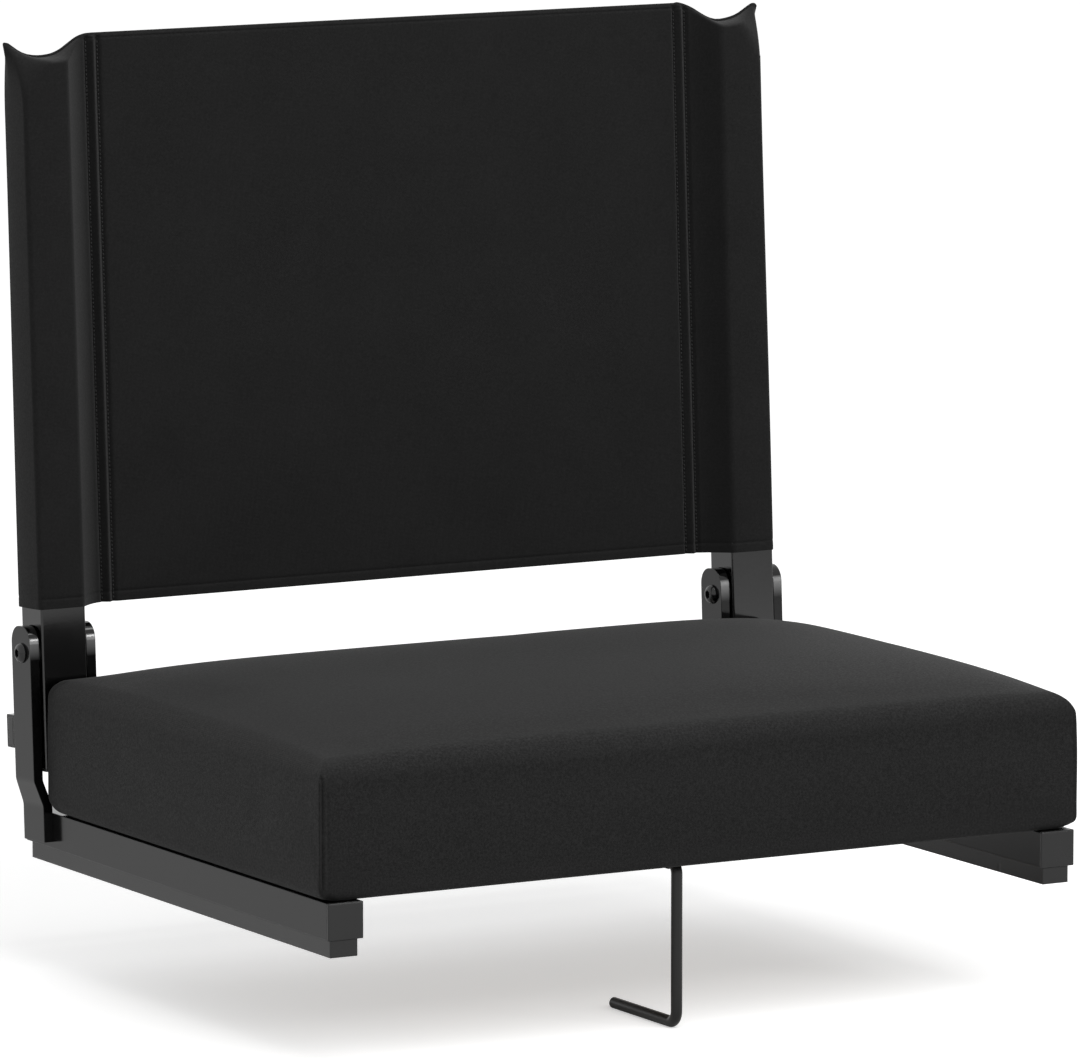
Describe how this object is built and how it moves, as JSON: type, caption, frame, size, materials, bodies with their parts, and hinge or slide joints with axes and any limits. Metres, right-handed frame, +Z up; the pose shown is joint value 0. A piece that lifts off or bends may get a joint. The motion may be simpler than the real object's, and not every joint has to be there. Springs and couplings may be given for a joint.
{
  "type": "portable stadium seat",
  "caption": "Folding stadium seat with a thick black cushion on two runners, a cloth back on hinged uprights and a wire hook that grips the bench from below.",
  "frame": {"origin": "middle of the seat's width and depth, at the level of the hook's underside", "axes": "+X to the sitter's left, as seen from the front to the right; +Y from the front edge to the back; +Z up"},
  "size_m": [0.4412, 0.3332, 0.4706],
  "materials": {
    "black_frame": "gloss black paint",
    "black_rod": "gloss black dip coat",
    "black_fastener": "black oxide",
    "black_plastic": "satin black",
    "nylon": "satin",
    "plywood": "sanded birch ply",
    "foam": "open-cell foam",
    "seat_cloth": "close-woven matt black polyester",
    "back_cloth": "close-woven matt black polyester"
  },
  "bodies": {
    "base": {"left_runner": "black_frame", "right_runner": "black_frame", "runner_front_plugs": "black_plastic", "runner_rear_plugs": "black_plastic", "left_foot_strip": "black_plastic", "right_foot_strip": "black_plastic", "left_outer_ear": "black_frame", "left_inner_ear": "black_frame", "right_outer_ear": "black_frame", "right_inner_ear": "black_frame", "hinge_barrels": "black_fastener", "hinge_screws": "black_fastener", "hinge_washers": "nylon", "seat_board": "plywood", "seat_foam": "foam", "seat_cover": "seat_cloth", "seat_screws": "black_fastener", "hook_clips": "black_frame", "hook_clip_screws": "black_fastener"},
    "backrest": {"left_upright": "black_frame", "right_upright": "black_frame", "upright_top_plugs": "black_plastic", "upright_foot_plugs": "black_plastic", "pivot_bushes": "nylon", "crossbar": "black_frame", "crossbar_plugs": "black_plastic", "back_cover": "back_cloth"},
    "hook": {"bleacher_hook": "black_rod"}
  },
  "joints": [
    {"name": "back_fold", "type": "hinge", "parent": "base", "child": "backrest", "pos_m": [0, 0.13891, 0.1647], "axis": [1, 0, 0], "range_deg": [0, 82]},
    {"name": "hook_swing", "type": "hinge", "parent": "base", "child": "hook", "pos_m": [0, -0.1, 0.0824], "axis": [0, 1, 0], "range_deg": [-90, 90]}
  ]
}
